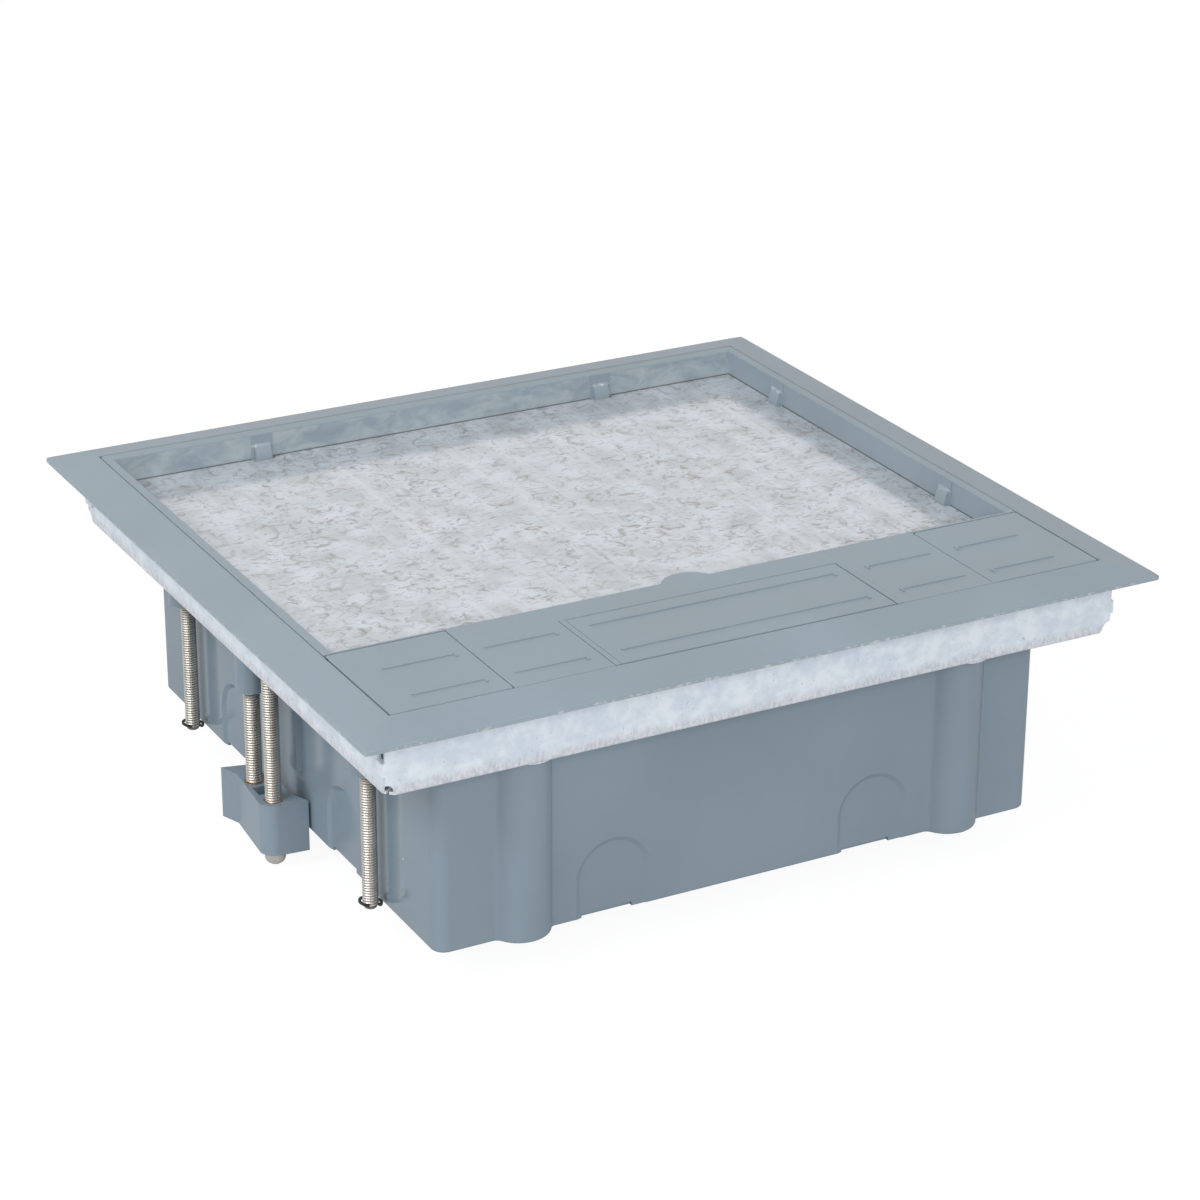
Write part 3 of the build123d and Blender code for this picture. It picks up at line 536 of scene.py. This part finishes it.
def spring_clip(name, body, x, y, tilted_left):
    """An open ring with three lugs that grip the screw, sprung a little askew."""
    low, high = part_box(name)
    middle = (low.z + high.z) / 2
    inner, outer = CLIP_RING
    half = CLIP_THICKNESS / 2
    ring = bmesh.new()
    corners = [ring.verts.new((r, 0, z))
               for r, z in ((inner, -half), (outer, -half), (outer, half), (inner, half))]
    bmesh.ops.rotate(ring, verts=corners, cent=(0, 0, 0),
                     matrix=Matrix.Rotation(radians(CLIP_START), 3, "Z"))
    section = ring.faces.new(corners)
    bmesh.ops.spin(ring, geom=corners + list(section.edges) + [section], cent=(0, 0, 0),
                   axis=(0, 0, 1), angle=radians(CLIP_SWEEP), steps=CLIP_STEPS)
    bmesh.ops.remove_doubles(ring, verts=ring.verts, dist=MERGE)
    mesh = bmesh.new()
    join(mesh, ring)
    for angle in CLIP_LUGS:
        lug = bmesh.ops.create_cube(mesh, size=1.0)["verts"]
        length = outer - THREAD_R - 2 * CLIP_LUG_GAP
        bmesh.ops.scale(mesh, verts=lug, vec=(length, CLIP_LUG_WIDTH, CLIP_LUG_THICKNESS))
        bmesh.ops.translate(mesh, verts=lug, vec=((outer + THREAD_R) / 2, 0, 0))
        bmesh.ops.rotate(mesh, verts=lug, cent=(0, 0, 0),
                         matrix=Matrix.Rotation(radians(angle), 3, "Z"))
    tilt = radians(CLIP_TILT if tilted_left else -CLIP_TILT)
    bmesh.ops.rotate(mesh, verts=mesh.verts, cent=(0, 0, 0), matrix=Matrix.Rotation(tilt, 3, "Y"))
    bmesh.ops.translate(mesh, verts=mesh.verts, vec=(x, y, middle))
    piece(f"open_{name}", mesh, body, "clip_steel", clip_black, name)


def height_screws():
    """The four screws that carry the housing, each with its spring clip."""
    for end in ("front", "rear"):
        for side in ("left", "right"):
            name = f"height_screw_{end}_{side}"
            x, y, top, low = node_axis(name)
            mesh = bmesh.new()
            long_screw(mesh, x, y, top - HEAD_HEIGHT, low)
            piece(f"threaded_{name}", mesh, name, "screw_steel", thread_nickel, name)
            spring_clip(f"retaining_clip_{end}_{side}", name, x, y, side == "left")


def clamp_screws():
    """Turning screws of the clamps with their domed stops."""
    for side in ("left", "right"):
        name = f"clamp_screw_{side}"
        x, y, top, low = node_axis(name)
        mesh = bmesh.new()
        stop_top, seat = low + STOP_HEIGHT, top - HEAD_HEIGHT
        slotted_head(mesh, x, y, seat)
        neck(mesh, x, y, seat, CLAMP_THREAD_R)
        thread(mesh, x, y, stop_top, seat - NECK, CLAMP_THREAD_R)
        arc = [(STOP_R * sin(a), low + STOP_DOME - STOP_DOME * cos(a)) for a in STOP_ANGLES]
        add_turned(mesh, x, y, [*arc, (STOP_R, stop_top), (0, stop_top)])
        piece(f"threaded_{name}", mesh, name, "screw_steel", thread_nickel, name)


def guide_rods():
    """The fixed rods beside the clamp screws, one at each side."""
    low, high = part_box("guide_rods")
    mesh = bmesh.new()
    for x, y in rod_places():
        long_screw(mesh, x, y, high.z - HEAD_HEIGHT, low.z, CLAMP_THREAD_R)
    piece("threaded_guide_rods", mesh, "root", "screw_steel", thread_nickel, "guide_rods")


def strip(mesh, low, high):
    """A box between two corners."""
    made = bmesh.ops.create_cube(mesh, size=1.0)["verts"]
    span = [b - a for a, b in zip(low, high)]
    bmesh.ops.scale(mesh, verts=made, vec=span)
    bmesh.ops.translate(mesh, verts=made, vec=[(a + b) / 2 for a, b in zip(low, high)])


def crisp_frame():
    """The trim frame with its flange's corners drawn out and lips in two seams of the lid.

    A corner's vertex moves away from the corner's centre, along its own ray, towards the square.
    """
    low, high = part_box("trim_frame")
    mesh = bmesh.new()
    mesh.from_mesh(nodes["trim_frame"].data)
    bmesh.ops.remove_doubles(mesh, verts=mesh.verts, dist=2 * MERGE)
    for face in mesh.faces:
        face.smooth = False
    x, y = high.x - FLANGE_CORNER, high.y - FLANGE_CORNER
    for v in mesh.verts:
        out_x, out_y = abs(v.co.x) - x, abs(v.co.y) - y
        if out_x > 0 and out_y > 0:
            reach = (out_x**2 + out_y**2) ** 0.5 / max(out_x, out_y)
            reach = 1 + (reach - 1) * CORNER_SHARPNESS
            v.co.x = (x + out_x * reach) * (1 if v.co.x > 0 else -1)
            v.co.y = (y + out_y * reach) * (1 if v.co.y > 0 else -1)
    top, side, rear = LID_HIGH.z - LIP_DROP, LID_HIGH.x, LID_HIGH.y
    strip(mesh, (side + SEAM_CLEARANCE, LID_LOW.y, top - SIDE_LIP_DEPTH), (side + SEAM, rear, top))
    strip(mesh, (-side, rear + SEAM_CLEARANCE, top - REAR_LIP_DEPTH),
          (side + SEAM, rear + SEAM, top))
    piece("crisp_trim_frame", mesh, "root", "cover_plastic", cover_plastic, "trim_frame")


height_screws()
clamp_screws()
guide_rods()
crisp_frame()


def camera():
    """The photograph's view."""
    lens = bpy.data.cameras.new("camera")
    lens.lens, lens.sensor_width = LENS_MM, SENSOR_MM
    lens.clip_end = 20
    eye = bpy.data.objects.new("camera", lens)
    bpy.context.scene.collection.objects.link(eye)
    turn = (Matrix.Rotation(radians(CAMERA_ROLL), 3, "Y")
            @ Matrix.Rotation(radians(CAMERA_TILT), 3, "X")
            @ Matrix.Rotation(radians(CAMERA_TURN), 3, "Z"))
    right, forward, up = turn.row
    axes = Matrix((right, up, -forward)).transposed()
    eye.matrix_world = Matrix.Translation(CAMERA_PLACE) @ axes.to_4x4()
    bpy.context.scene.camera = eye


def soft_light(name, place, size, power):
    """A white panel of light turned to the middle of the box."""
    lamp = bpy.data.lights.new(name, "AREA")
    lamp.shape, lamp.size, lamp.size_y = "RECTANGLE", size[0], size[1]
    lamp.energy = power
    source = bpy.data.objects.new(name, lamp)
    bpy.context.scene.collection.objects.link(source)
    source.location = place
    way = Vector(LIGHT_TARGET) - Vector(place)
    source.rotation_euler = way.to_track_quat("-Z", "Y").to_euler()


def is_seen(f):
    """1 for rays from the camera and for mirrored and refracted ones."""
    rays = [f.add("ShaderNodeLightPath", output=kind)
            for kind in ("Is Camera Ray", "Is Glossy Ray", "Is Transmission Ray")]
    return f.least(rays[0] + rays[1] + rays[2], 1.0)


def studio():
    """Pale floor and plain soft light; the background shows white where nothing shades it."""
    floor_z = cad_box[0][2] - FLOOR_GAP
    mesh = bmesh.new()
    bmesh.ops.create_grid(mesh, x_segments=1, y_segments=1, size=FLOOR_SIZE)
    bmesh.ops.translate(mesh, verts=mesh.verts, vec=(0, 0, floor_z))
    data = bpy.data.meshes.new("floor")
    mesh.to_mesh(data)
    mesh.free()
    floor = bpy.data.objects.new("floor", data)
    bpy.context.scene.collection.objects.link(floor)
    f = Finish(bpy.data.materials.new("floor_paper"))
    matt = f.add("ShaderNodeBsdfDiffuse", {"Color": (0.66, 0.66, 0.67)})
    glow = f.add("ShaderNodeEmission", {"Color": (1, 1, 1), "Strength": FLOOR_GLOW})
    straight = f.add("ShaderNodeLightPath", output="Is Camera Ray")
    mirrored = f.add("ShaderNodeLightPath", output="Is Glossy Ray")
    lit = f.add("ShaderNodeMixShader", {0: straight * 0.82 + mirrored * 0.14, 1: matt, 2: glow})
    f.add("ShaderNodeOutputMaterial", {"Surface": lit})
    data.materials.append(f.owner)

    world = bpy.data.worlds.new("studio")
    bpy.context.scene.world = world
    w = Finish(world)
    ambient = w.add("ShaderNodeBackground", {"Color": (0.98, 0.99, 1.0), "Strength": AMBIENT})
    white = w.add("ShaderNodeBackground", {"Color": (1, 1, 1), "Strength": 1.0})
    sky = w.add("ShaderNodeMixShader", {0: is_seen(w), 1: ambient, 2: white})
    w.add("ShaderNodeOutputWorld", {"Surface": sky})

    for panel in LIGHTS:
        soft_light(*panel)


camera()
studio()
scene = bpy.context.scene
scene.view_settings.view_transform = "Standard"
